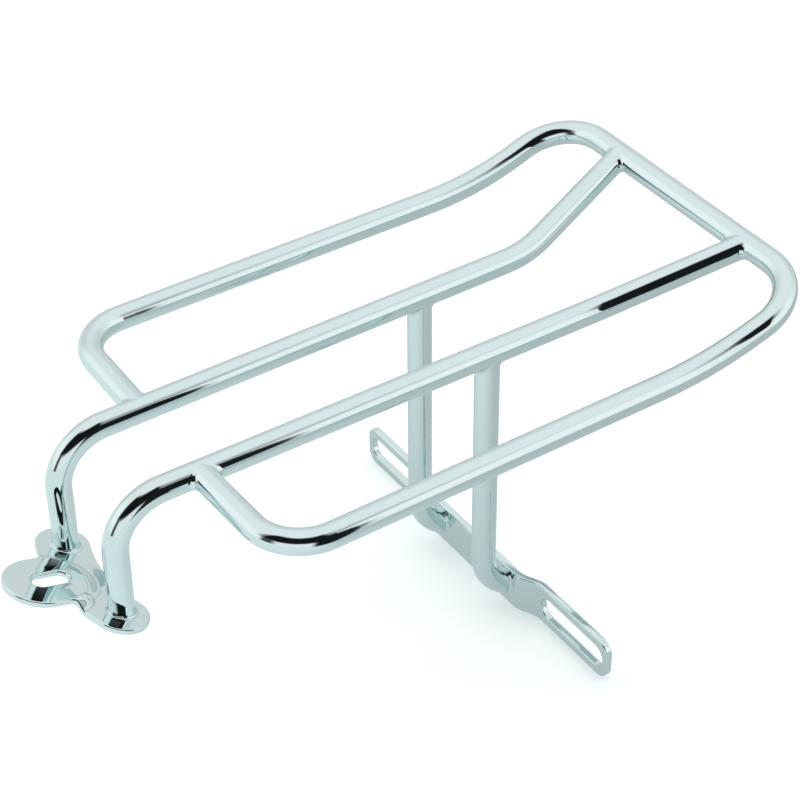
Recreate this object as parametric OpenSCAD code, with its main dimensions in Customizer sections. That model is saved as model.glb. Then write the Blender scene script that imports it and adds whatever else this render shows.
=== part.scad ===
// Motorcycle luggage rack
// A welded and plated steel tube rack. An outer hoop carries the load, two rails run inside it
// and turn down into legs on a slotted front plate, and two struts hang from the rails and end
// on a slotted crossbar.
//
// Millimetres. +X points to the back of the motorcycle, +Y to the rider's right and +Z up.
// The origin is midway between the two slots of the crossbar, on the front face of its ends.

/* [Tube] */
// Outside diameter of every tube
tube_d = 12.7; // [10:0.1:15]
// Wall thickness of every tube
tube_wall = 1.6; // [1:0.1:2.5]

/* [Deck] */
// Height of the deck's tube axes above the slots of the crossbar
deck_z = 156.8; // [130:0.1:190]
// How far the hoop's front bar lies behind the legs' axes
front_lead = 45.5; // [38:0.1:70]
// Place of the hoop's rear bar, along X
rear_x = 124.5; // [122:0.1:150]
// How far the rear bar stands above the deck
rear_rise = 21; // [5:0.5:40]

/* [Hoop] */
// Half width of the hoop at its front corners, to the tube's axis
hoop_half_front = 98.7; // [85:0.1:120]
// Half width of the hoop where it starts to rise
hoop_half_kick = 97.5; // [85:0.1:120]
// Half width of the hoop at its rear corners
hoop_half_rear = 99; // [85:0.1:120]
// How far the front corners lie behind the front bar's inner ends
hoop_front_sweep = 1.8; // [0:0.1:6]
// Where the hoop's sides start to rise, along X
hoop_kick_x = 64.1; // [50:0.1:66]
// Bend radius of the front corners
hoop_front_r = 26; // [18:0.5:40]
// Bend radius of the rise in each side
hoop_kick_r = 185; // [60:1:190]
// Bend radius of the rear corners
hoop_rear_r = 29.5; // [18:0.5:30]

/* [Rails] */
// Half the distance between the rails at their legs, to the axes
rail_half_front = 27.9; // [24:0.1:34]
// Half the distance between the rails where they start to rise
rail_half_kick = 29.8; // [24:0.1:38]
// Half the distance between the rails at the rear bar
rail_half_rear = 50.9; // [38:0.1:62]
// Where the rails start to rise and spread, along X
rail_kick_x = 47.3; // [30:0.1:60]
// Bend radius of the rise in each rail
rail_kick_r = 70; // [30:1:120]
// Place of the legs' axes, along X
leg_x = -226.1; // [-245:0.1:-224]
// Bend radius where a rail turns down into its leg
leg_bend_r = 26; // [18:0.5:30]

/* [Front plate] */
// Height of the plate's top face at the legs' axes
plate_z = 94.9; // [70:0.1:110]
// Slope of the plate, front edge up
plate_tilt = 15.7; // [0:0.1:25]
// Thickness of the plate
plate_t = 3; // [2:0.1:4]
// Radius of the two ears under the legs
plate_ear_r = 13.4; // [11:0.1:16]
// How deep each hollow and each side bites into the round beside it
plate_bite = 0.02; // [0.01:0.01:0.1]
// Half the distance between the ears' centres
plate_ear_half = 29.6; // [28:0.1:34]
// How far the ears' centres lie in front of the legs' axes
plate_ear_lead = 0.9; // [0:0.1:3]
// Slant of the ears' front sides, in degrees
plate_slant = 19.3; // [15:0.1:24]
// Half width of the front tongue, and the radius of its end
plate_tongue_r = 17.7; // [15:0.1:20]
// How far the centre of the tongue's end lies in front of the legs' axes
plate_tongue_lead = 29.2; // [27:0.1:34]
// Radius of the hollow between the tongue and an ear
plate_waist_r = 4; // [2:0.5:6]
// How far behind the legs' axes the middle of the rear edge lies
plate_rear_lead = 7.2; // [4:0.1:10]
// How far the tongue is pressed up above the ears
pad_step = 4; // [0.5:0.1:5]
// How wide the pressed step's slope is
pad_run = 5.4; // [4:0.1:7]
// Radius of the step's foot
pad_r = 23.8; // [20:0.1:25]
// How far the centre of the step's arc lies in front of the legs' axes
pad_lead = 24.4; // [22:0.1:26]
// Length of the front slot
front_slot_len = 18.6; // [12:0.1:22]
// Width of the front slot
front_slot_w = 9; // [6:0.1:12]
// How far the front slot's centre lies in front of the legs' axes
front_slot_lead = 23.5; // [22:0.1:28]

/* [Struts] */
// Place of the struts' axes, along X
strut_x = -19.5; // [-24:0.1:-14]
// Bend radius at the foot of each strut
strut_bend_r = 30; // [22:0.5:40]

/* [Slotted crossbar] */
// Height of the flat bar
bar_h = 23.4; // [20:0.1:30]
// Thickness of the flat bar
bar_t = 4; // [3:0.1:6]
// Half the length of the flat bar
bar_half = 109.8; // [90:0.1:130]
// How far the middle of the bar is set forward of its ends
bar_set = 5.7; // [1:0.1:8]
// Flat left between a strut's weld and the joggle beside it
joggle_clear = 0.5; // [0.2:0.1:3]
// Length of each joggle along the bar
joggle_run = 16; // [12:0.5:20]
// Bend radius of the joggles, to the middle of the bar's thickness
joggle_r = 8; // [4:0.5:12]
// Radius of the bar's four corners
bar_corner_r = 7; // [1:0.1:11]
// Flat left between a joggle and the slot beside it
slot_clear = 0.7; // [0.2:0.1:5]
// Metal left between a slot and the bar's end
slot_wall = 3.5; // [3:0.1:8]
// Width of each slot
slot_w = 13; // [6:0.1:15]

/* [Welds] */
// Leg length of the fillet welds between tubes
weld_leg = 3.4; // [2:0.1:5]
// Leg length of the welds on the flat plate and the flat bar
weld_flat = 1.8; // [1:0.1:3]
// Gap left between the coped tubes, and between a weld and its tubes
weld_gap = 0.05; // [0.02:0.01:0.1]
// How much the wall of a bend swells, inside and out
bend_swell = 0.03; // [0.02:0.01:0.05]

/* [Hidden] */
$fn = 64;
tube_r = tube_d / 2;
bore_r = tube_r - tube_wall;
rear_z = deck_z + rear_rise;
front_x = leg_x + front_lead;
plate_color = [0.80, 0.82, 0.83];
tube_color = [0.83, 0.85, 0.86];
weld_color = [0.76, 0.78, 0.79];

// One long length for cutting tools, and a short one that carries a cut past a face
big = 400;
past = 1;

// Distance from a strut's axis to the front face of the bar's middle
strut_reach = -bar_set - strut_x;
// Height of the strut's bend start, so that its axis meets the bar at the slots' height
strut_bend_z = strut_bend_r * sin(acos(1 - strut_reach / strut_bend_r));
// Turn of the strut that carries its outer wall past the bar's face
strut_turn = acos((strut_bend_r - strut_reach) / (strut_bend_r + tube_r)) + 2;

// Shift of the underside's bends at the step, so that the slope keeps the plate's thickness
pad_shift = plate_t * tan(atan(pad_step / pad_run) / 2);
pad_outer = 80;
plate_ear = [-plate_ear_lead, plate_ear_half];
plate_tongue = [-plate_tongue_lead, 0];

weld_steps = 14;
weld_span = 76;
weld_curve = [1/5, 2/5, 3/5, 4/5];
weld_r = (tube_r + weld_gap) / cos(weld_span / weld_steps);

function unit(v) = v / norm(v);
function turn(u, v) = acos(unit(u) * unit(v));

// Distance from the rail's axis to the middle, on its long straight
function rail_y(x) = rail_half_front
  + (rail_half_kick - rail_half_front) * (x - leg_x) / (rail_kick_x - leg_x);

// Corner points of the tubes' axes. side is 1 on the right and -1 on the left.
function rail_points(side) = [
  [leg_x, side * rail_half_front, plate_z - tube_d],
  [leg_x, side * rail_half_front, deck_z],
  [rail_kick_x, side * rail_half_kick, deck_z],
  [rear_x, side * rail_half_rear, rear_z]
];
function hoop_points(side) = [
  [front_x, side * rail_y(front_x), deck_z],
  [front_x + hoop_front_sweep, side * hoop_half_front, deck_z],
  [hoop_kick_x, side * hoop_half_kick, deck_z],
  [rear_x, side * hoop_half_rear, rear_z]
];
function backwards(list) = [for (i = [len(list) - 1 : -1 : 0]) list[i]];

// How far from a corner its bend starts, and how far a straight goes on into that bend's wall
bend_entry = 0.2;
function set_back(path, radii, i) = radii[i] == 0 ? 0
  : radii[i] * tan(turn(path[i] - path[i - 1], path[i + 1] - path[i]) / 2) - bend_entry;

module ring(r_out, r_in) {
  difference() {
    circle(r_out);
    circle(r_in);
  }
}

module rod(from, to, r) {
  d = to - from;
  translate(from)
    rotate([0, acos(d[2] / norm(d)), atan2(d[1], d[0])])
      cylinder(h = norm(d), r = r);
}

module straight_tube(from, to) {
  d = to - from;
  translate(from)
    rotate([0, acos(d[2] / norm(d)), atan2(d[1], d[0])])
      linear_extrude(norm(d))
        ring(tube_r, bore_r);
}

module bend_tube(before, corner, after, radius) {
  u = unit(corner - before);
  v = unit(after - corner);
  axis = unit(cross(u, v));
  inward = cross(axis, u);
  centre = corner - u * radius * tan(turn(u, v) / 2) + inward * radius;
  lean = acos(axis[2]);
  spin = atan2(axis[1], axis[0]);
  local_x = [cos(lean) * cos(spin), cos(lean) * sin(spin), -sin(lean)];
  local_y = [-sin(spin), cos(spin), 0];
  translate(centre)
    rotate([0, lean, spin])
      rotate([0, 0, atan2(-inward * local_y, -inward * local_x)])
        rotate_extrude(angle = turn(u, v))
          translate([radius, 0])
            ring(tube_r + bend_swell, bore_r - bend_swell);
}

// A hollow tube along a list of corner points, bent at each corner but the two ends
module bent_tube(path, radii) {
  last = len(path) - 1;
  for (i = [0 : last - 1]) {
    d = unit(path[i + 1] - path[i]);
    straight_tube(path[i] + d * set_back(path, radii, i),
                  path[i + 1] - d * set_back(path, radii, i + 1));
  }
  for (i = [1 : last - 1])
    bend_tube(path[i - 1], path[i], path[i + 1], radii[i]);
}

// Clearance cuts the shape of the tube that another tube is welded to
module rail_cut(side) {
  points = rail_points(side);
  rod(points[1], points[2], tube_r + weld_gap);
}

module rear_bar_cut() {
  translate([rear_x, 0, rear_z])
    rotate([90, 0, 0])
      cylinder(h = 2 * hoop_half_rear, r = tube_r + weld_gap, center = true);
}

module outer_hoop() {
  radii = [0, hoop_front_r, hoop_kick_r, hoop_rear_r];
  color(tube_color)
    difference() {
      bent_tube(concat(hoop_points(1), backwards(hoop_points(-1))), concat(radii, backwards(radii)));
      rail_cut(1);
      rail_cut(-1);
    }
}

module rail(side) {
  color(tube_color)
    difference() {
      bent_tube(rail_points(side), [0, leg_bend_r, rail_kick_r, 0]);
      rear_bar_cut();
      plate_place()
        translate([-big / 2, -big / 2, -big])
          cube(big);
    }
}

module strut_bend(side, r_out, r_in) {
  translate([strut_x + strut_bend_r, side * rail_y(strut_x), strut_bend_z])
    rotate([90, 0, 0])
      rotate([0, 0, 180])
        rotate_extrude(angle = strut_turn)
          translate([strut_bend_r, 0])
            ring(r_out, r_in);
}

module strut(side) {
  y = side * rail_y(strut_x);
  color(tube_color)
    difference() {
      union() {
        straight_tube([strut_x, y, strut_bend_z - bend_entry], [strut_x, y, deck_z]);
        strut_bend(side, tube_r + bend_swell, bore_r - bend_swell);
      }
      rail_cut(side);
      translate([-bar_set, -big / 2, -big / 2])
        cube(big);
    }
}

// The joggles clear the struts' welds, and each slot fills the flat from its joggle to the end
joggle_in = rail_y(strut_x) + tube_r + weld_flat + joggle_clear;
joggle_out = joggle_in + joggle_run;
slot_in = joggle_out + slot_clear;
slot_out = bar_half - slot_wall;

// Half of the bar's middle line seen from above, with its two joggle bends as arcs
joggle_turn = atan(bar_set / joggle_run);
joggle_back = joggle_r * tan(joggle_turn / 2);
joggle_arc = [0 : joggle_turn / 4 : joggle_turn];
mid_x = bar_t / 2;
function bar_line(shift) = concat(
  [for (a = joggle_arc) [
    mid_x - bar_set + joggle_r - (joggle_r - shift) * cos(a),
    joggle_in - joggle_back + (joggle_r - shift) * sin(a)
  ]],
  [for (a = joggle_arc) [
    mid_x - joggle_r + (joggle_r + shift) * cos(joggle_turn - a),
    joggle_out + joggle_back - (joggle_r + shift) * sin(joggle_turn - a)
  ]],
  [[mid_x + shift, bar_half + past]]
);
function left_side(points) = [for (p = points) [p[0], -p[1]]];

module bar_plan() {
  front = bar_line(-bar_t / 2);
  back = bar_line(bar_t / 2);
  polygon(concat(
    backwards(left_side(front)), front,
    backwards(back), left_side(back)
  ));
}

// A slot's space, long in X, as a block of height h
module slot_block(length, width, h) {
  run = length - width;
  translate([-run / 2, -width / 2, 0])
    cube([run, width, h]);
  for (end = [-1, 1])
    translate([end * run / 2, 0, 0])
      cylinder(h = h, r = width / 2);
}

// A strip with round corners, long in X, as a block of height h
module strip_block(length, width, r, h) {
  translate([r - length / 2, -width / 2, 0])
    cube([length - 2 * r, width, h]);
  translate([-length / 2, r - width / 2, 0])
    cube([length, width - 2 * r, h]);
  for (x = [-1, 1])
    for (y = [-1, 1])
      translate([x * (length / 2 - r), y * (width / 2 - r), 0])
        cylinder(h = h, r = r);
}

module slotted_crossbar() {
  depth = 2 * (bar_set + bar_t);
  color(plate_color)
    intersection() {
      translate([0, 0, -bar_h / 2 - past])
        linear_extrude(bar_h + 2 * past)
          bar_plan();
      rotate([90, 0, 90])
        translate([0, 0, -bar_set - bar_t])
          difference() {
            strip_block(2 * bar_half, bar_h, bar_corner_r, depth);
            for (end = [-1, 1])
              translate([end * (slot_in + slot_out) / 2, 0, -past])
                slot_block(slot_out - slot_in, slot_w, depth + 2 * past);
          }
    }
}

// The plate's own place: its top face at the legs, sloping up to the front
module plate_place() {
  translate([leg_x, 0, plate_z])
    rotate([0, plate_tilt, 0])
      children();
}

// Outward direction of an ear's front side, and the centre of the hollow that meets the tongue
slant_out = [-cos(plate_slant), sin(plate_slant)];
waist_y = plate_tongue_r + plate_waist_r;
waist = [
  -plate_ear_lead - (plate_ear_r + plate_waist_r - (waist_y - plate_ear_half) * slant_out[1])
    / cos(plate_slant),
  waist_y
];
// Radius and centre of the rear edge, an arc that touches both ears and the edge's middle
rear_gap = plate_rear_lead + plate_ear_lead;
rear_r = (plate_ear_half * plate_ear_half + rear_gap * rear_gap - plate_ear_r * plate_ear_r)
  / (2 * (plate_ear_r - rear_gap));
rear_centre = [plate_rear_lead + rear_r, 0];

// Corners of the right half of the plate's body, inside its round ends
side_corners = [
  [-plate_tongue_lead, plate_tongue_r - plate_bite],
  [waist[0], plate_tongue_r - plate_bite],
  waist,
  waist - slant_out * (plate_waist_r + plate_bite),
  plate_ear + slant_out * (plate_ear_r - plate_bite),
  plate_ear
];

// The plate's outline as a block of height h
module plate_block(h) {
  difference() {
    union() {
      linear_extrude(h)
        polygon(concat(
          side_corners,
          [rear_centre],
          backwards([for (p = side_corners) [p[0], -p[1]]])
        ));
      translate(plate_tongue)
        cylinder(h = h, r = plate_tongue_r);
      for (side = [-1, 1])
        translate([plate_ear[0], side * plate_ear[1], 0])
          cylinder(h = h, r = plate_ear_r);
    }
    for (side = [-1, 1])
      translate([waist[0], side * waist[1], -past])
        cylinder(h = h + 2 * past, r = plate_waist_r + 2 * plate_bite);
    translate([rear_centre[0], 0, -past])
      cylinder(h = h + 2 * past, r = rear_r + plate_bite);
    translate([-front_slot_lead, 0, -past])
      slot_block(front_slot_len, front_slot_w, h + 2 * past);
  }
}

// The pressed step round the rear of the slot, and the raised flat in front of it
module pad_slope() {
  rotate([0, 0, -90])
    rotate_extrude(angle = 180)
      polygon([
        [0, pad_step - plate_t],
        [pad_r - pad_run - pad_shift, pad_step - plate_t],
        [pad_r - pad_shift, -plate_t],
        [pad_outer, -plate_t],
        [pad_outer, 0],
        [pad_r, 0],
        [pad_r - pad_run, pad_step],
        [0, pad_step]
      ]);
  translate([-pad_outer, -pad_outer, pad_step - plate_t])
    cube([pad_outer + bend_entry, 2 * pad_outer, plate_t]);
}

module front_plate() {
  color(plate_color)
    plate_place()
      intersection() {
        translate([0, 0, -plate_t - past])
          plate_block(plate_t + pad_step + 2 * past);
        translate([-pad_lead, 0, 0])
          pad_slope();
      }
}

// One side of a fillet weld between two tubes of the same size. The run tube goes along a,
// the welded tube along b, and phi goes around the welded tube from the side that a points to.
function weld_section(joint, a, b, phi) =
  let (
    across = unit(cross(a, b)),
    out = unit(a - b * (a * b)),
    leg = weld_leg * cos(phi),
    along = weld_r * cos(phi) * (1 + a * b) / norm(cross(a, b)),
    root = joint + weld_r * (out * cos(phi) + across * sin(phi)) + b * along
  )
  concat(
    [root, root + b * leg],
    [for (s = weld_curve) root + b * leg * (1 - s) * (1 - s) + a * leg * s * s],
    [root + a * leg]
  );

module weld_side(joint, a, b) {
  m = len(weld_curve) + 3;
  points = [
    for (i = [0 : weld_steps])
      each weld_section(joint, a, b, -weld_span + 2 * weld_span * i / weld_steps)
  ];
  last = weld_steps * m;
  faces = concat(
    [for (j = [1 : m - 2]) [0, j + 1, j]],
    [for (j = [1 : m - 2]) [last, last + j, last + j + 1]],
    [
      for (i = [0 : weld_steps - 1])
        for (j = [0 : m - 1])
          each [
            [i * m + j, i * m + (j + 1) % m, (i + 1) * m + (j + 1) % m],
            [i * m + j, (i + 1) * m + (j + 1) % m, (i + 1) * m + j]
          ]
    ]
  );
  polyhedron(points, faces, convexity = 4);
}

module tube_weld(joint, run_way, branch_way) {
  color(weld_color)
    for (side = [-1, 1])
      weld_side(joint, side * unit(run_way), unit(branch_way));
}

module weld_hoop_front(side) {
  rail_way = rail_points(side)[2] - rail_points(side)[1];
  tube_weld(hoop_points(side)[0], rail_way, hoop_points(side)[1] - hoop_points(side)[0]);
}

module weld_rail_rear(side) {
  tube_weld(rail_points(side)[3], [0, 1, 0], rail_points(side)[2] - rail_points(side)[3]);
}

module weld_strut_top(side) {
  rail_way = rail_points(side)[2] - rail_points(side)[1];
  tube_weld([strut_x, side * rail_y(strut_x), deck_z], rail_way, [0, 0, -1]);
}

module weld_strut_foot(side) {
  color(weld_color)
    intersection() {
      strut_bend(side, tube_r + weld_flat, tube_r + weld_gap);
      translate([-bar_set - weld_flat, -big / 2, -bar_h / 2])
        cube([weld_flat, big, bar_h]);
    }
}

module weld_leg_foot(side) {
  leg_top = rail_points(side)[1];
  leg_end = rail_points(side)[0];
  color(weld_color)
    difference() {
      plate_place()
        translate([0, side * rail_half_front, 0])
          cylinder(h = weld_flat, r1 = tube_r / cos(plate_tilt) + weld_flat, r2 = tube_r + 4 * weld_gap);
      rod(leg_end, leg_top, tube_r + weld_gap);
    }
}

outer_hoop();
rail(-1);  // rail_left
rail(1);  // rail_right
strut(-1);  // strut_left
strut(1);  // strut_right
slotted_crossbar();
front_plate();
weld_hoop_front(-1);  // weld_hoop_front_left
weld_hoop_front(1);  // weld_hoop_front_right
weld_rail_rear(-1);  // weld_rail_rear_left
weld_rail_rear(1);  // weld_rail_rear_right
weld_strut_top(-1);  // weld_strut_top_left
weld_strut_top(1);  // weld_strut_top_right
weld_strut_foot(-1);  // weld_strut_foot_left
weld_strut_foot(1);  // weld_strut_foot_right
weld_leg_foot(-1);  // weld_leg_foot_left
weld_leg_foot(1);  // weld_leg_foot_right
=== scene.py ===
import bpy
import bmesh
from math import acos, atan2, ceil, cos, hypot, pi, radians, sin, tan
from mathutils import Matrix, Vector


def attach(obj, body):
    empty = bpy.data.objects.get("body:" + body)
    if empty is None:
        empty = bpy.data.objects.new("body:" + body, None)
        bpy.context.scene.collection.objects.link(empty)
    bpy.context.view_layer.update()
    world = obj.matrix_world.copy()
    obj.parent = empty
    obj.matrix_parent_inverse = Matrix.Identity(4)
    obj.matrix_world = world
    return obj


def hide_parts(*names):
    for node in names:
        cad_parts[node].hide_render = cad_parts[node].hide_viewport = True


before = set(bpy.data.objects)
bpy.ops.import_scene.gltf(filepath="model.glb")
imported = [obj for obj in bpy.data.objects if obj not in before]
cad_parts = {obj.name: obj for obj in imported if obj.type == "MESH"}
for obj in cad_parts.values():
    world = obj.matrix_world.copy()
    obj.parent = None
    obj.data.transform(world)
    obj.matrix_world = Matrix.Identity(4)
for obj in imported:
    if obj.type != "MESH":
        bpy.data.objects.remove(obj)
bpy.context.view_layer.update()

MM = 0.001

# Driving sizes of the tubes
TUBE_R = 6.35
DECK_Z = 156.8
FRONT_X = -180.6
REAR_X = 124.5
REAR_RISE = 21.0
HOOP_HALF = {"front": 98.7, "kick": 97.5, "rear": 99.0}
HOOP_SWEEP = 1.8
HOOP_KICK_X = 64.1
HOOP_RADII = [26.0, 185.0, 29.5]
RAIL_HALF = {"front": 27.9, "kick": 29.8, "rear": 50.9}
RAIL_KICK_X = 47.3
RAIL_RADII = [26.0, 70.0]
LEG_X = -226.1
LEG_SINK = 0.4
STRUT_X = -19.5
STRUT_BEND_R = 30.0

# Driving sizes of the front plate. Its own X and Y start midway between the legs
PLATE_Z = 94.9
PLATE_TILT = radians(15.7)
PLATE_T = 3.0
EAR = Vector((-0.9, 29.6))
EAR_R = 13.4
SLANT = radians(19.3)
TONGUE = Vector((-29.2, 0.0))
TONGUE_R = 17.7
WAIST_R = 4.0
REAR_LEAD = 7.2
PAD_STEP = 4.0
PAD_RUN = 5.4
PAD_R = 23.8
PAD_CENTRE = Vector((-24.4, 0.0))
FRONT_SLOT_X = -23.5
FRONT_SLOT = (18.6, 9.0)

# Driving sizes of the crossbar
BAR_H = 23.4
BAR_T = 4.0
BAR_HALF = 109.8
BAR_SET = 5.7
JOGGLE = (38.0, 54.0)
BAR_CORNER_R = 7.0
SLOT_PITCH = 161.0
SLOT = (51.6, 13.0)

# Driving sizes of the welds: WELD_LEG between tubes, WELD_FLAT on the bar and the plate. Between
# tubes a weld reaches WELD_SPAN to each side of its corner's middle and thins out on the way
WELD_LEG = 3.4
WELD_FLAT = 1.8
WELD_SPAN = radians(88)
WELD_TAPER = 0.8

# Rounding of the flat pieces' edges and of the plate's step, which the solids leave sharp
BAR_EDGE = 0.7
PLATE_EDGE = 0.8
PLATE_LOWER_EDGE = 0.5
FRONT_SLOT_EDGE = 1.2
PAD_SOFT = 1.4

# How finely curved surfaces are drawn
RING = 64
BEND_STEP = radians(3)
LEAST_BEND_STEPS = 4
STRAIGHT_STEP = 12.0
STRUT_BEND_STEPS = 24
STRIP_CORNER_STEPS = 12
EDGE_RESOLUTION = 4
SLOT_END_FLAT = 0.001
JOGGLE_CUTS = 22
JOGGLE_MARGIN = 3.0
OUTLINE_STEP = 0.5
TONGUE_STEPS = 60
WAIST_STEPS = 20
EAR_STEPS = 90
REAR_STEPS = 40
EDGE_STEPS = 6
SLOPE_STEPS = 12
WELD_STEPS = 48
WELD_CURVE = 10
SAME_POINT = 1e-6

REAR_Z = DECK_Z + REAR_RISE
SIDES = {"left": -1, "right": 1}


# Centre lines


def rail_y(x):
    along = (x - LEG_X) / (RAIL_KICK_X - LEG_X)
    return RAIL_HALF["front"] + (RAIL_HALF["kick"] - RAIL_HALF["front"]) * along


def rail_points(side):
    return [
        Vector((LEG_X, side * RAIL_HALF["front"], PLATE_Z)),
        Vector((LEG_X, side * RAIL_HALF["front"], DECK_Z)),
        Vector((RAIL_KICK_X, side * RAIL_HALF["kick"], DECK_Z)),
        Vector((REAR_X, side * RAIL_HALF["rear"], REAR_Z)),
    ]


def hoop_points(side):
    return [
        Vector((FRONT_X, side * rail_y(FRONT_X), DECK_Z)),
        Vector((FRONT_X + HOOP_SWEEP, side * HOOP_HALF["front"], DECK_Z)),
        Vector((HOOP_KICK_X, side * HOOP_HALF["kick"], DECK_Z)),
        Vector((REAR_X, side * HOOP_HALF["rear"], REAR_Z)),
    ]


# Nodes


def node_tree(owner):
    """The empty node tree of a material or a world."""
    owner.use_nodes = True
    owner.node_tree.nodes.clear()
    return owner.node_tree


def add_node(tree, kind, values):
    """A node with values on its inputs, by name; a value may be the output of another node."""
    node = tree.nodes.new(kind)
    for name, value in values.items():
        if isinstance(value, bpy.types.NodeSocket):
            tree.links.new(value, node.inputs[name])
        else:
            node.inputs[name].default_value = value
    return node


def mix_colour(tree, factor, first, second):
    node = tree.nodes.new("ShaderNodeMix")
    node.data_type = "RGBA"
    node.inputs["A"].default_value = first
    node.inputs["B"].default_value = second
    tree.links.new(factor, node.inputs["Factor"])
    return node.outputs["Result"]


def map_range(tree, value, low, high, low_result, high_result):
    return add_node(tree, "ShaderNodeMapRange", {
        "Value": value,
        "From Min": low,
        "From Max": high,
        "To Min": low_result,
        "To Max": high_result,
    })


def math_node(tree, operation, a, b=None):
    node = tree.nodes.new("ShaderNodeMath")
    node.operation = operation
    for socket, value in zip(node.inputs, (a, b)):
        if isinstance(value, (int, float)):
            socket.default_value = value
        elif value is not None:
            tree.links.new(value, socket)
    return node.outputs[0]


def product(tree, *values):
    result = values[0]
    for value in values[1:]:
        result = math_node(tree, "MULTIPLY", result, value)
    return result


def soft_step(tree, value, low, high):
    """0 below low and 1 above high, with a smooth change; the other way round if low is the larger."""
    ends = (0.0, 1.0) if low < high else (1.0, 0.0)
    node = map_range(tree, value, min(low, high), max(low, high), *ends)
    node.interpolation_type = "SMOOTHSTEP"
    return node.outputs["Result"]


def band(tree, value, start, full, end_full, end):
    return product(tree, soft_step(tree, value, start, full), soft_step(tree, value, end, end_full))


def coordinates(tree, kind):
    """X, Y and Z of the shaded point in metres, or of a direction."""
    place = tree.nodes.new("ShaderNodeTexCoord")
    split = add_node(tree, "ShaderNodeSeparateXYZ", {"Vector": place.outputs[kind]})
    return split.outputs["X"], split.outputs["Y"], split.outputs["Z"]


def set_surface(tree, kind, shader):
    add_node(tree, kind, {"Surface": shader})


# Materials
TINTS = ((0.67, 0.795, 0.80, 1), (0.72, 0.83, 0.84, 1))
CLOUD_SCALE = 14.0
CLOUD_DETAIL = 4.0
CLOUD_RANGE = (0.35, 0.7)
WAVE_DETAIL = 2.0


def noise(tree, scale, detail):
    place = tree.nodes.new("ShaderNodeTexCoord")
    node = add_node(tree, "ShaderNodeTexNoise", {
        "Vector": place.outputs["Object"],
        "Scale": scale,
        "Detail": detail,
    })
    return node.outputs["Fac"]


def chrome(name, roughness, dullness, wave, wave_scale):
    """Bright plating: its tint and its sheen vary a little, and its surface has a slow wave."""
    material = bpy.data.materials.new(name)
    tree = node_tree(material)
    cloud = noise(tree, CLOUD_SCALE, CLOUD_DETAIL)
    haze = map_range(tree, cloud, *CLOUD_RANGE, roughness, roughness + dullness)
    bump = add_node(tree, "ShaderNodeBump", {
        "Height": noise(tree, wave_scale, WAVE_DETAIL),
        "Strength": 1.0,
        "Distance": wave,
    })
    metal = add_node(tree, "ShaderNodeBsdfPrincipled", {
        "Metallic": 1.0,
        "Base Color": mix_colour(tree, cloud, *TINTS),
        "Roughness": haze.outputs["Result"],
        "Normal": bump.outputs["Normal"],
    })
    set_surface(tree, "ShaderNodeOutputMaterial", metal.outputs["BSDF"])
    return material


tube_chrome = chrome("tube_chrome", roughness=0.03, dullness=0.025, wave=0.000015, wave_scale=60.0)
plate_chrome = chrome("plate_chrome", roughness=0.035, dullness=0.03, wave=0.00001, wave_scale=60.0)
weld_chrome = chrome("weld_chrome", roughness=0.06, dullness=0.05, wave=0.00035, wave_scale=300.0)


# Meshes


def place_piece(piece, node):
    bpy.context.scene.collection.objects.link(piece)
    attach(piece, "root")
    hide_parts(node)
    return piece


def make_object(name, verts, faces, material, node):
    mesh = bpy.data.meshes.new(name)
    mesh.from_pydata([v * MM for v in verts], [], faces)
    mesh.validate()
    mesh.shade_smooth()
    mesh.materials.append(material)
    return place_piece(bpy.data.objects.new(name, mesh), node)


def skin(rings, closed=True, first=0):
    """Points, numbered from first, and faces between rings of the same count."""
    count = len(rings[0])
    verts = [v for ring in rings for v in ring]
    faces = []
    for i in range(len(rings) - 1):
        near, far = first + i * count, first + (i + 1) * count
        for k in range(count if closed else count - 1):
            beside = (k + 1) % count
            faces.append((near + k, near + beside, far + beside, far + k))
    return verts, faces


def smooth(t):
    """A rise from 0 to 1 with level ends, for t from 0 to 1."""
    t = min(1, max(0, t))
    return t * t * (3 - 2 * t)


# Tubes


def add_straight(path, end):
    start = path[-1]
    steps = max(1, round((end - start).length / STRAIGHT_STEP))
    path.extend(start.lerp(end, i / steps) for i in range(1, steps + 1))


def bent_path(corners, radii):
    """Points along straights and round bends, with the radius at each inner corner."""
    path = [corners[0]]
    for before, corner, after, radius in zip(corners, corners[1:], corners[2:], radii):
        way_in = (corner - before).normalized()
        way_out = (after - corner).normalized()
        angle = way_in.angle(way_out)
        inward = way_in.cross(way_out).cross(way_in).normalized()
        start = corner - way_in * radius * tan(angle / 2)
        centre = start + inward * radius
        add_straight(path, start)
        steps = max(LEAST_BEND_STEPS, ceil(angle / BEND_STEP))
        for i in range(1, steps + 1):
            turn = angle * i / steps
            path.append(centre - inward * radius * cos(turn) + way_in * radius * sin(turn))
    add_straight(path, corners[-1])
    return path


def tube_rings(path, first_side):
    """Rings of points round a path, turned as little as the path allows."""
    rings = []
    side = first_side
    for i, point in enumerate(path):
        ahead = path[min(i + 1, len(path) - 1)] - point
        behind = point - path[max(i - 1, 0)]
        way = (ahead.normalized() + behind.normalized()).normalized()
        side = (side - way * side.dot(way)).normalized()
        other = way.cross(side)
        rings.append([
            point + (side * cos(a) + other * sin(a)) * TUBE_R
            for a in (2 * pi * k / RING for k in range(RING))
        ])
    return rings


def tube(name, rings, node):
    verts, faces = skin(rings)
    make_object(name, verts, faces, tube_chrome, node)


def plate_top(x):
    """Height of the plate's sloping top face, or of its plane."""
    return PLATE_Z - (x - LEG_X) * tan(PLATE_TILT)


def rail_rings(side):
    """The leg's first ring follows the sloping plate, just inside its top face."""
    rings = tube_rings(bent_path(rail_points(side), RAIL_RADII), Vector((1, 0, 0)))
    rings[0] = [Vector((v.x, v.y, plate_top(v.x) - LEG_SINK)) for v in rings[0]]
    return rings


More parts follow.
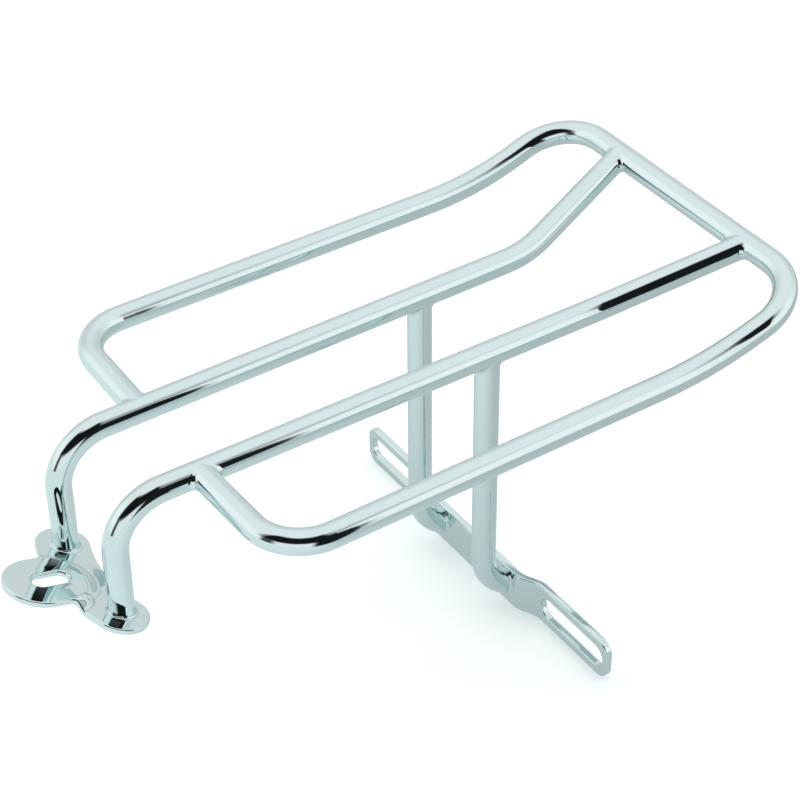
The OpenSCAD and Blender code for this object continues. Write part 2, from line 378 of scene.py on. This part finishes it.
def hoop_rings():
    corners = hoop_points(1) + hoop_points(-1)[::-1]
    return tube_rings(bent_path(corners, HOOP_RADII + HOOP_RADII[::-1]), Vector((0, 0, 1)))


# Struts: straight down, then round a bend until each line along the wall meets the bar's face
strut_reach = -BAR_SET - STRUT_X
strut_bend_z = STRUT_BEND_R * sin(acos(1 - strut_reach / STRUT_BEND_R))


def strut_rings(y):
    rings = []
    around = [2 * pi * k / RING for k in range(RING)]
    straight = round((DECK_Z - strut_bend_z) / STRAIGHT_STEP)
    for i in range(straight):
        z = DECK_Z + (strut_bend_z - DECK_Z) * i / straight
        rings.append([Vector((STRUT_X + TUBE_R * cos(a), y + TUBE_R * sin(a), z)) for a in around])
    for i in range(STRUT_BEND_STEPS + 1):
        ring = []
        for a in around:
            arm = STRUT_BEND_R - TUBE_R * cos(a)
            turn = acos((STRUT_BEND_R - strut_reach) / arm) * i / STRUT_BEND_STEPS
            ring.append(Vector((
                STRUT_X + STRUT_BEND_R - arm * cos(turn),
                y + TUBE_R * sin(a),
                strut_bend_z - arm * sin(turn),
            )))
        rings.append(ring)
    return rings


for word, side in SIDES.items():
    tube(f"rail_{word}_tube", rail_rings(side), f"rail_{word}")
tube("outer_hoop_tube", hoop_rings(), "outer_hoop")
for word, side in SIDES.items():
    tube(f"strut_{word}_tube", strut_rings(side * rail_y(STRUT_X)), f"strut_{word}")


# Slotted crossbar: a flat outline with rounded edges, then the joggles


def arc_points(centre, radius, start, sweep, steps):
    return [
        centre + Vector((cos(start + sweep * i / steps), sin(start + sweep * i / steps))) * radius
        for i in range(steps + 1)
    ]


def round_strip(centre, length, width, radius):
    """Outline of a strip with round corners, long in X."""
    points = []
    for quarter, (sx, sy) in enumerate(((1, 1), (-1, 1), (-1, -1), (1, -1))):
        middle = centre + Vector((sx * (length / 2 - radius), sy * (width / 2 - radius)))
        points += arc_points(middle, radius, quarter * pi / 2, pi / 2, STRIP_CORNER_STEPS)
    return points


def flat_solid(name, outlines, thickness, edge):
    """A flat plate from outlines in one plane, the first one outside, with rounded edges."""
    curve = bpy.data.curves.new(name, "CURVE")
    curve.dimensions = "2D"
    curve.fill_mode = "BOTH"
    curve.extrude = (thickness / 2 - edge) * MM
    curve.bevel_depth = edge * MM
    curve.bevel_resolution = EDGE_RESOLUTION
    for points in outlines:
        spline = curve.splines.new("POLY")
        spline.points.add(len(points) - 1)
        spline.use_cyclic_u = True
        for target, p in zip(spline.points, points):
            target.co = (p.x * MM, p.y * MM, 0, 1)
    holder = bpy.data.objects.new(name, curve)
    bpy.context.scene.collection.objects.link(holder)
    bpy.context.view_layer.update()
    mesh = bpy.data.meshes.new_from_object(holder.evaluated_get(bpy.context.evaluated_depsgraph_get()))
    bpy.data.objects.remove(holder)
    bpy.data.curves.remove(curve)
    return mesh


def joggle_shift(y):
    """How far forward the bar's middle line lies, at a distance y from its centre."""
    start, end = JOGGLE
    return -BAR_SET * (1 - smooth((abs(y) - start) / (end - start)))


def crossbar_outlines():
    """The bar and its slots, drawn smaller and larger by the rounded edge that grows from them.

    Each slot's round ends are a hair narrower than the slot, so that no two of its points are one.
    """
    height = BAR_H - 2 * BAR_EDGE
    outlines = [round_strip(Vector((0, 0)), 2 * (BAR_HALF - BAR_EDGE), height, BAR_CORNER_R - BAR_EDGE)]
    length = SLOT[0] + 2 * BAR_EDGE
    width = SLOT[1] + 2 * BAR_EDGE
    for end in (-1, 1):
        centre = Vector((end * SLOT_PITCH / 2, 0))
        outlines.append(round_strip(centre, length, width, width / 2 - SLOT_END_FLAT))
    return outlines


def cut_across(shape, y):
    everything = shape.verts[:] + shape.edges[:] + shape.faces[:]
    bmesh.ops.bisect_plane(shape, geom=everything, plane_co=(y * MM, 0, 0), plane_no=(1, 0, 0))


def crossbar():
    mesh = flat_solid("slotted_crossbar_flat", crossbar_outlines(), BAR_T, BAR_EDGE)
    shape = bmesh.new()
    shape.from_mesh(mesh)
    bmesh.ops.remove_doubles(shape, verts=shape.verts, dist=SAME_POINT)
    start = JOGGLE[0] - JOGGLE_MARGIN
    run = JOGGLE[1] + JOGGLE_MARGIN - start
    cuts = [start + run * i / JOGGLE_CUTS for i in range(JOGGLE_CUTS + 1)]
    for y in cuts + [-cut for cut in cuts]:
        cut_across(shape, y)
    for v in shape.verts:
        length, height, depth = v.co / MM
        v.co = Vector((depth + BAR_T / 2 + joggle_shift(length), length, height)) * MM
    bmesh.ops.recalc_face_normals(shape, faces=shape.faces[:])
    shape.to_mesh(mesh)
    shape.free()
    mesh.shade_smooth()
    mesh.materials.clear()
    mesh.materials.append(plate_chrome)
    piece = bpy.data.objects.new("slotted_crossbar_flat", mesh)
    place_piece(piece, "slotted_crossbar")
    piece.modifiers.new("even_normals", "WEIGHTED_NORMAL").keep_sharp = True


crossbar()

# Front plate: columns of points run from the slot's edge out to the outline
slant_out = Vector((-cos(SLANT), sin(SLANT)))
waist_y = TONGUE_R + WAIST_R
waist = Vector((EAR.x - (EAR_R + WAIST_R - (waist_y - EAR.y) * slant_out.y) / cos(SLANT), waist_y))
rear_gap = REAR_LEAD - EAR.x
rear_r = (EAR.y**2 + rear_gap**2 - EAR_R**2) / (2 * (EAR_R - rear_gap))
rear_centre = Vector((REAR_LEAD + rear_r, 0.0))
slope_run = PAD_RUN + 2 * PAD_SOFT

# A line across the slot is searched as far as SLOT_SEARCH. A column keeps the slope's points
# within these shares of its length, and this far apart
SLOT_SEARCH = 20.0
SLOPE_SHARES = (0.04, 0.94)
LEAST_SHARE = 0.004
HALVINGS = 24


def line_points(start, end):
    count = max(2, ceil((end - start).length / OUTLINE_STEP))
    return [start.lerp(end, i / count) for i in range(1, count)]


def plate_outline():
    """The outline, from the tongue's tip along the right side to the rear, then back on the left."""
    rear_turn = atan2(EAR.y, rear_centre.x - EAR.x)
    half = arc_points(TONGUE, TONGUE_R, pi, -pi / 2, TONGUE_STEPS)
    half += line_points(half[-1], Vector((waist.x, TONGUE_R)))
    half += arc_points(waist, WAIST_R, -pi / 2, pi / 2 - SLANT, WAIST_STEPS)
    half += line_points(half[-1], EAR + slant_out * EAR_R)
    half += arc_points(EAR, EAR_R, pi - SLANT, SLANT - pi - rear_turn, EAR_STEPS)
    half += arc_points(rear_centre, rear_r, pi - rear_turn, rear_turn, REAR_STEPS)[1:]
    return half + [Vector((p.x, -p.y)) for p in half[-2:0:-1]]


def loop_normals(points):
    """Outward directions of a clockwise loop."""
    around = zip(points[-1:] + points[:-1], points[1:] + points[:1])
    return [Vector((a.y - b.y, b.x - a.x)).normalized() for a, b in around]


def slot_middle_x(x):
    """The nearest X on the line between the centres of the slot's round ends."""
    run = (FRONT_SLOT[0] - FRONT_SLOT[1]) / 2
    return FRONT_SLOT_X + min(run, max(-run, x - FRONT_SLOT_X))


def slot_depth(p):
    """How far inside the slot a point lies; less than nothing outside it."""
    return FRONT_SLOT[1] / 2 - hypot(p.x - slot_middle_x(p.x), p.y)


def slot_normal(p):
    """Into the slot, away from the metal."""
    return Vector((slot_middle_x(p.x) - p.x, -p.y)).normalized()


def halved(test, low, high):
    """Where a test changes from false to true between two numbers."""
    for _ in range(HALVINGS):
        middle = (low + high) / 2
        if test(middle):
            high = middle
        else:
            low = middle
    return low


def slot_point(p):
    """Where the line from the pad's centre to a point leaves the slot."""
    way = (p - PAD_CENTRE).normalized()
    return PAD_CENTRE + way * halved(lambda r: slot_depth(PAD_CENTRE + way * r) < 0, 0, SLOT_SEARCH)


def pad_distance(p):
    return hypot(max(0.0, p.x - PAD_CENTRE.x), p.y)


def pad_height(p):
    """The pressed step: a smooth rise from its foot to the tongue."""
    return PAD_STEP * smooth((PAD_R + PAD_SOFT - pad_distance(p)) / slope_run)


def plate_point(p, lower):
    """A point of the plate in the rack's frame, at a depth below the plate's top face."""
    local = Vector((p.x, p.y, pad_height(p) - lower))
    return Vector((
        LEG_X + local.x * cos(PLATE_TILT) + local.z * sin(PLATE_TILT),
        local.y,
        PLATE_Z - local.x * sin(PLATE_TILT) + local.z * cos(PLATE_TILT),
    ))


def edge_loops(points, normals, edge):
    """Points and depths of the rounded edge, from the top face to the underside."""
    turns = [pi / 2 * i / EDGE_STEPS for i in range(EDGE_STEPS + 1)]
    under = PLATE_LOWER_EDGE
    profile = [(edge * (1 - sin(a)), edge * (1 - cos(a))) for a in turns]
    profile += [(under * (1 - sin(a)), PLATE_T - under * (1 - cos(a))) for a in turns[::-1]]
    return [[(p - n * inset, lower) for p, n in zip(points, normals)] for inset, lower in profile]


def column(a, b):
    """Points from the slot's edge to the outline's edge, close together on the step's slope."""
    shares = [0.0]
    for i in range(SLOPE_STEPS + 1):
        stop = PAD_R - PAD_RUN - PAD_SOFT + slope_run * i / SLOPE_STEPS
        share = halved(lambda t: pad_distance(a.lerp(b, t)) > stop, *SLOPE_SHARES)
        shares.append(max(share, shares[-1] + LEAST_SHARE))
    shares = [shares[1] / 2] + shares[1:] + [(shares[-1] + 1) / 2]
    return [a.lerp(b, t) for t in shares]


def face_loops(inner, outer, lower):
    """Loops of the top face or the underside, from the slot to the outline."""
    columns = [column(a, b) for (a, _), (b, _) in zip(inner, outer)]
    return [[(p, lower) for p in loop] for loop in zip(*columns)]


def front_plate():
    outline = plate_outline()
    slot_edge = [slot_point(p) for p in outline]
    outer = edge_loops(outline, loop_normals(outline), PLATE_EDGE)
    inner = edge_loops(slot_edge, [slot_normal(p) for p in slot_edge], FRONT_SLOT_EDGE)[::-1]
    top = face_loops(inner[-1], outer[0], 0)
    below = face_loops(inner[0], outer[-1], PLATE_T)[::-1]
    loops = inner + top + outer + below + inner[:1]
    verts, faces = skin([[plate_point(p, lower) for p, lower in loop] for loop in loops])
    piece = make_object("front_plate_pressed", verts, faces, plate_chrome, "front_plate")
    shape = bmesh.new()
    shape.from_mesh(piece.data)
    bmesh.ops.remove_doubles(shape, verts=shape.verts, dist=2 * SAME_POINT)
    bmesh.ops.dissolve_degenerate(shape, edges=shape.edges, dist=SAME_POINT)
    bmesh.ops.recalc_face_normals(shape, faces=shape.faces[:])
    shape.to_mesh(piece.data)
    shape.free()
    piece.modifiers.new("even_normals", "WEIGHTED_NORMAL").keep_sharp = True


front_plate()


# Welds between tubes: a hollow fillet in each of the two corners beside the welded tube


def weld_corner(joint, run_way, branch_way):
    """One corner of the weld: rings across it, going round the welded tube."""
    across = run_way.cross(branch_way).normalized()
    out = (run_way - branch_way * run_way.dot(branch_way)).normalized()
    slant = (1 + run_way.dot(branch_way)) / run_way.cross(branch_way).length
    rings = []
    for i in range(WELD_STEPS + 1):
        turn = -WELD_SPAN + 2 * WELD_SPAN * i / WELD_STEPS
        leg = WELD_LEG * cos(turn) ** WELD_TAPER
        root = joint + (out * cos(turn) + across * sin(turn)) * TUBE_R
        root += branch_way * TUBE_R * cos(turn) * slant
        ring = []
        for k in range(WELD_CURVE + 1):
            share = k / WELD_CURVE
            ring.append(root + branch_way * leg * (1 - share) ** 2 + run_way * leg * share**2)
        rings.append(ring)
    return rings


def make_weld(node, verts, faces):
    make_object(node + "_fillet", verts, faces, weld_chrome, node)


def tube_weld(node, joint, run_way, branch_way):
    verts, faces = [], []
    for side in (-1, 1):
        rings = weld_corner(joint, side * run_way.normalized(), branch_way.normalized())
        more_verts, more_faces = skin(rings, closed=False, first=len(verts))
        verts += more_verts
        faces += more_faces
    make_weld(node, verts, faces)


# Welds round the feet: a hollow fillet whose points spread from the tube as they near the face


def foot_weld(node, foot_point):
    rings = []
    for k in range(RING):
        angle = 2 * pi * k / RING
        ring = []
        for j in range(WELD_CURVE + 1):
            share = j / WELD_CURVE
            radius = TUBE_R + WELD_FLAT * share**2
            ring.append(foot_point(angle, radius, WELD_FLAT * (1 - share) ** 2))
        rings.append(ring)
    rings.append(rings[0])
    make_weld(node, *skin(rings, closed=False))


def strut_foot_point(y):
    """Where a wall of radius r round the strut comes to a distance rise from the bar's front face."""
    def point(angle, r, rise):
        arm = STRUT_BEND_R - r * cos(angle)
        turn = acos((STRUT_BEND_R - strut_reach + rise) / arm)
        return Vector((-BAR_SET - rise, y + r * sin(angle), strut_bend_z - arm * sin(turn)))
    return point


def leg_foot_point(y):
    """Where a wall of radius r round the leg comes to a distance rise above the plate's top face."""
    def point(angle, r, rise):
        x = LEG_X + r * cos(angle)
        return Vector((x, y + r * sin(angle), plate_top(x) + rise))
    return point


for word, side in SIDES.items():
    rail_corners, hoop_start = rail_points(side), hoop_points(side)
    rail_way = rail_corners[2] - rail_corners[1]
    rise_way = rail_corners[2] - rail_corners[3]
    strut_top = Vector((STRUT_X, side * rail_y(STRUT_X), DECK_Z))
    tube_weld(f"weld_hoop_front_{word}", hoop_start[0], rail_way, hoop_start[1] - hoop_start[0])
    tube_weld(f"weld_rail_rear_{word}", rail_corners[3], Vector((0, 1, 0)), rise_way)
    tube_weld(f"weld_strut_top_{word}", strut_top, rail_way, Vector((0, 0, -1)))
for word, side in SIDES.items():
    foot_weld(f"weld_strut_foot_{word}", strut_foot_point(side * rail_y(STRUT_X)))
    foot_weld(f"weld_leg_foot_{word}", leg_foot_point(side * RAIL_HALF["front"]))


# Studio: stages that the chrome reflects. The shaders' places are in metres


def flat_sheet(name, corners):
    """A flat stage, and the empty node tree of its material."""
    mesh = bpy.data.meshes.new(name)
    mesh.from_pydata([Vector(c) * MM for c in corners], [], [(0, 1, 2, 3)])
    sheet = bpy.data.objects.new(name, mesh)
    bpy.context.scene.collection.objects.link(sheet)
    material = bpy.data.materials.new(name)
    mesh.materials.append(material)
    return sheet, node_tree(material)


# Floor: in the chrome the paper is dimmed so its real shadow barely shows, and it glows instead with
# painted light, strong in front of the rack and weaker behind it as painted shade under the deck
FLOOR_GAP = 0.1
FLOOR_Z = -BAR_H / 2 - FLOOR_GAP
FLOOR_HALF = 4000.0
PAPER = (1, 1, 1, 1)
PAPER_IN_CHROME = (0.25, 0.25, 0.25, 1)
# Tint of the camera's white lift and of the painted glow in the chrome
BACKDROP_AND_PAINTED_GLOW_COLOUR = (0.90, 1, 1, 1)
CAMERA_LIFT = 0.41
PAINTED_GLOW_IN_CHROME = (0.75, 0.42)
PAINTED_SHADE_CHANGE_X = (-0.34, 0.16)


def studio_floor():
    """The camera sees white paper. The chrome sees dim paper with a painted glow, which fades towards the
    rear as painted shade under the deck.
    """
    signs = ((-1, -1), (1, -1), (1, 1), (-1, 1))
    tree = flat_sheet("floor", [(sx * FLOOR_HALF, sy * FLOOR_HALF, FLOOR_Z) for sx, sy in signs])[1]
    rays = tree.nodes.new("ShaderNodeLightPath")
    x = coordinates(tree, "Object")[0]
    front, rear = PAINTED_GLOW_IN_CHROME
    # Painted light for glossy rays only: a glow that fades towards the rear as painted shade where the
    # deck's shadow falls
    painted_shade = product(tree, soft_step(tree, x, *PAINTED_SHADE_CHANGE_X), front - rear)
    painted_glow = product(tree, math_node(tree, "SUBTRACT", front, painted_shade), rays.outputs["Is Glossy Ray"])
    camera_lift = product(tree, rays.outputs["Is Camera Ray"], CAMERA_LIFT)
    paper = add_node(tree, "ShaderNodeBsdfPrincipled", {
        "Base Color": mix_colour(tree, rays.outputs["Is Camera Ray"], PAPER_IN_CHROME, PAPER),
        "Roughness": 1.0,
        "Specular IOR Level": 0.0,
        "Emission Color": BACKDROP_AND_PAINTED_GLOW_COLOUR,
        "Emission Strength": math_node(tree, "ADD", camera_lift, painted_glow),
    })
    set_surface(tree, "ShaderNodeOutputMaterial", paper.outputs["BSDF"])


# Card: its fades are start, full, full and end, along X and Z. Its dark part leans as it goes up
CARD_Y = -1000.0
CARD_X = (-460.0, 800.0)
CARD_TOP = 2300.0
CARD_COLOUR = (0.01, 0.012, 0.013, 1)
CARD_ACROSS = (-0.45, -0.25, 0.29, 0.322)
CARD_UP = (-0.5, 0.1, 1.1, 1.4)
CARD_LEAN = 0.12
CARD_LEAN_Z = 0.59
HAZE_ACROSS = (-0.2, 0.1, 0.35, 0.75)
HAZE_UP = (0.9, 1.3, 1.9, 2.3)
HAZE_SHARE = 0.45


def dark_card():
    """A dark card right of the camera, so near that each tube sees its edge at another place."""
    left, right = CARD_X
    corners = [(left, CARD_Y, 0), (right, CARD_Y, 0), (right, CARD_Y, CARD_TOP), (left, CARD_Y, CARD_TOP)]
    sheet, tree = flat_sheet("dark_card", corners)
    sheet.visible_camera = False
    sheet.visible_diffuse = False
    sheet.visible_shadow = False
    x, _, z = coordinates(tree, "Object")
    lean = product(tree, math_node(tree, "SUBTRACT", z, CARD_LEAN_Z), CARD_LEAN)
    leaned = math_node(tree, "SUBTRACT", x, lean)
    card = product(tree, band(tree, leaned, *CARD_ACROSS), band(tree, z, *CARD_UP))
    haze = product(tree, band(tree, x, *HAZE_ACROSS), band(tree, z, *HAZE_UP), HAZE_SHARE)
    clear = tree.nodes.new("ShaderNodeBsdfTransparent")
    black = add_node(tree, "ShaderNodeEmission", {"Color": CARD_COLOUR})
    mixed = add_node(tree, "ShaderNodeMixShader", {"Fac": math_node(tree, "MAXIMUM", card, haze)})
    tree.links.new(clear.outputs["BSDF"], mixed.inputs[1])
    tree.links.new(black.outputs["Emission"], mixed.inputs[2])
    set_surface(tree, "ShaderNodeOutputMaterial", mixed.outputs["Shader"])


# World, in degrees: azimuth 0 is towards -Y and 90 towards +X. A band is start, full, full and
# end, and a lobe is its centre and how far to each side it is full and ends
WALL_LIGHT = 0.97
ROOM_LEFT = (-108, -90)
ROOM_RIGHT = (17, 3)
ROOM_HEIGHT = (16, 27, 63, 76)
ROOM_LEAN = 0.45
ROOM_LEAN_HEIGHT = 30
POST_AZIMUTH = (-98, -89, -80, -66)
POST_HEIGHT = (-14, -2, 30, 60)
POST_SHARE = 0.93
DARK_LOSS = 0.99
GLOW_RIGHT = (46, 10, 34)
GLOW_LEFT = (-128, 18, 44)
GLOW_HEIGHT = (-4, 12, 28, 48)
GLOW_GAIN = 0.13
GREY_BACK = (148, 35, 75)
GREY_HEIGHT = (50, 18)
GREY_LOSS = 0.20
VEIL_AZIMUTH = (0, 18, 26, 56)
VEIL_HEIGHT = (38, 50, 60, 72)
VEIL_LOSS = 0.36


def towards(tree, azimuth, centre, full, end):
    """1 within an angle of a direction and 0 beyond a wider one."""
    turned = math_node(tree, "MULTIPLY", math_node(tree, "SUBTRACT", azimuth, centre), pi / 180)
    return soft_step(tree, math_node(tree, "COSINE", turned), cos(radians(end)), cos(radians(full)))


def dark_share(tree, azimuth, height):
    """The dark room behind the camera, whose right edge leans out as it rises, and a post on its left."""
    above = math_node(tree, "MAXIMUM", math_node(tree, "SUBTRACT", height, ROOM_LEAN_HEIGHT), 0)
    leaned = math_node(tree, "SUBTRACT", azimuth, math_node(tree, "MULTIPLY", above, ROOM_LEAN))
    left, right = soft_step(tree, azimuth, *ROOM_LEFT), soft_step(tree, leaned, *ROOM_RIGHT)
    room = product(tree, left, right, band(tree, height, *ROOM_HEIGHT))
    post = product(tree, band(tree, azimuth, *POST_AZIMUTH), band(tree, height, *POST_HEIGHT))
    return math_node(tree, "MAXIMUM", room, product(tree, post, POST_SHARE))


def wall_light(tree, azimuth, height):
    """Light walls: brighter beside the dark part, greyer low behind the rack and high on the right."""
    right, left = towards(tree, azimuth, *GLOW_RIGHT), towards(tree, azimuth, *GLOW_LEFT)
    glow = product(tree, math_node(tree, "MAXIMUM", right, left), band(tree, height, *GLOW_HEIGHT))
    grey = product(tree, towards(tree, azimuth, *GREY_BACK), soft_step(tree, height, *GREY_HEIGHT))
    veil = product(tree, band(tree, azimuth, *VEIL_AZIMUTH), band(tree, height, *VEIL_HEIGHT))
    light = math_node(tree, "ADD", WALL_LIGHT, product(tree, glow, GLOW_GAIN))
    light = math_node(tree, "SUBTRACT", light, product(tree, grey, GREY_LOSS))
    return math_node(tree, "SUBTRACT", light, product(tree, veil, VEIL_LOSS))


def studio_world():
    """Walls by direction, as the chrome sees them. The camera sees a white backdrop."""
    world = bpy.data.worlds.new("studio")
    bpy.context.scene.world = world
    tree = node_tree(world)
    x, y, z = coordinates(tree, "Generated")
    azimuth = math_node(tree, "MULTIPLY", math_node(tree, "ARCTAN2", x, product(tree, y, -1)), 180 / pi)
    height = math_node(tree, "MULTIPLY", math_node(tree, "ARCSINE", z), 180 / pi)
    dark = product(tree, dark_share(tree, azimuth, height), DARK_LOSS)
    light = product(tree, wall_light(tree, azimuth, height), math_node(tree, "SUBTRACT", 1, dark))
    rays = tree.nodes.new("ShaderNodeLightPath")
    back = add_node(tree, "ShaderNodeBackground", {
        "Color": (1, 1, 1, 1),
        "Strength": math_node(tree, "MAXIMUM", light, rays.outputs["Is Camera Ray"]),
    })
    set_surface(tree, "ShaderNodeOutputWorld", back.outputs["Background"])


studio_floor()
dark_card()
studio_world()

# Camera
CAMERA_AZIMUTH = radians(-33.57)
CAMERA_ELEVATION = radians(38.11)
CAMERA_ROLL = radians(0.57)
CAMERA_DISTANCE = 1104.08
CAMERA_AIM = Vector((-74.8, -35.34, 156.84))
CAMERA_LENS = 104.68
SENSOR_WIDTH = 36


def studio_camera():
    back = Vector((
        sin(CAMERA_AZIMUTH) * cos(CAMERA_ELEVATION),
        -cos(CAMERA_AZIMUTH) * cos(CAMERA_ELEVATION),
        sin(CAMERA_ELEVATION),
    ))
    level = Vector((cos(CAMERA_AZIMUTH), sin(CAMERA_AZIMUTH), 0))
    right = level * cos(CAMERA_ROLL) + level.cross(back) * sin(CAMERA_ROLL)
    up = back.cross(right)
    data = bpy.data.cameras.new("camera")
    data.lens = CAMERA_LENS
    data.sensor_width = SENSOR_WIDTH
    camera = bpy.data.objects.new("camera", data)
    bpy.context.scene.collection.objects.link(camera)
    turn = Matrix((right, up, back)).transposed().to_4x4()
    camera.matrix_world = Matrix.Translation((CAMERA_AIM + back * CAMERA_DISTANCE) * MM) @ turn
    bpy.context.scene.camera = camera


studio_camera()
bpy.context.scene.view_settings.view_transform = "Standard"

bpy.context.view_layer.update()
